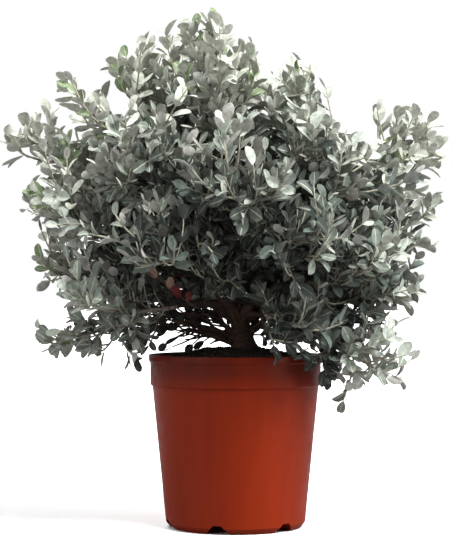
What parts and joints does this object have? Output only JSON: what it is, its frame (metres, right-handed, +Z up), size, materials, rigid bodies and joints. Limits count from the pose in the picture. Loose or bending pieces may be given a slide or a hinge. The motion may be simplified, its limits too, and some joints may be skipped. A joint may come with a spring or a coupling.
{
  "type": "potted pohutukawa",
  "caption": "Young bushy pohutukawa with grey-green felted oval leaves, a short forked trunk and a round terracotta-coloured plastic nursery pot.",
  "frame": {"origin": "centre of the pot's flat underside, on the ground", "axes": "+Z up the pot's axis; -Y towards the side that the picture shows; +X to the right as seen from there"},
  "size_m": [0.6929, 0.5852, 0.7878],
  "materials": {
    "pot_plastic": "satin",
    "potting_soil": "matte",
    "bark": "matte",
    "felted_leaf": "matte"
  },
  "bodies": {
    "root": {"pot": "pot_plastic", "soil": "potting_soil", "trunk": "bark", "bough_back": "bark", "bough_front_left": "bark", "bough_front_right": "bark", "bough_leader": "bark", "bough_left": "bark", "bough_right": "bark", "side_bough_back_left_low": "bark", "side_bough_back_mid": "bark", "side_bough_back_right_high": "bark", "side_bough_back_right_low": "bark", "side_bough_front_left_low": "bark", "side_bough_front_left_mid": "bark", "side_bough_front_mid": "bark", "side_bough_front_right_low": "bark", "side_bough_front_right_mid": "bark", "side_bough_front_skirt": "bark", "side_bough_left_low": "bark", "side_bough_left_mid": "bark", "side_bough_left_shoulder": "bark", "side_bough_left_skirt": "bark", "side_bough_right_low": "bark", "side_bough_right_mid": "bark", "side_bough_right_skirt": "bark", "side_bough_top_left": "bark", "side_bough_top_right": "bark", "foliage_back_left_high": "felted_leaf", "foliage_back_left_low": "felted_leaf", "foliage_back_mid": "felted_leaf", "foliage_back_right_high": "felted_leaf", "foliage_back_right_low": "felted_leaf", "foliage_front_left_high": "felted_leaf", "foliage_front_left_low": "felted_leaf", "foliage_front_left_mid": "felted_leaf", "foliage_front_mid": "felted_leaf", "foliage_front_right_high": "felted_leaf", "foliage_front_right_low": "felted_leaf", "foliage_front_right_mid": "felted_leaf", "foliage_front_skirt": "felted_leaf", "foliage_left_high": "felted_leaf", "foliage_left_low": "felted_leaf", "foliage_left_mid": "felted_leaf", "foliage_left_shoulder": "felted_leaf", "foliage_left_skirt": "felted_leaf", "foliage_right_high": "felted_leaf", "foliage_right_low": "felted_leaf", "foliage_right_mid": "felted_leaf", "foliage_right_skirt": "felted_leaf", "foliage_top": "felted_leaf", "foliage_top_left": "felted_leaf", "foliage_top_right": "felted_leaf"}
  },
  "joints": []
}
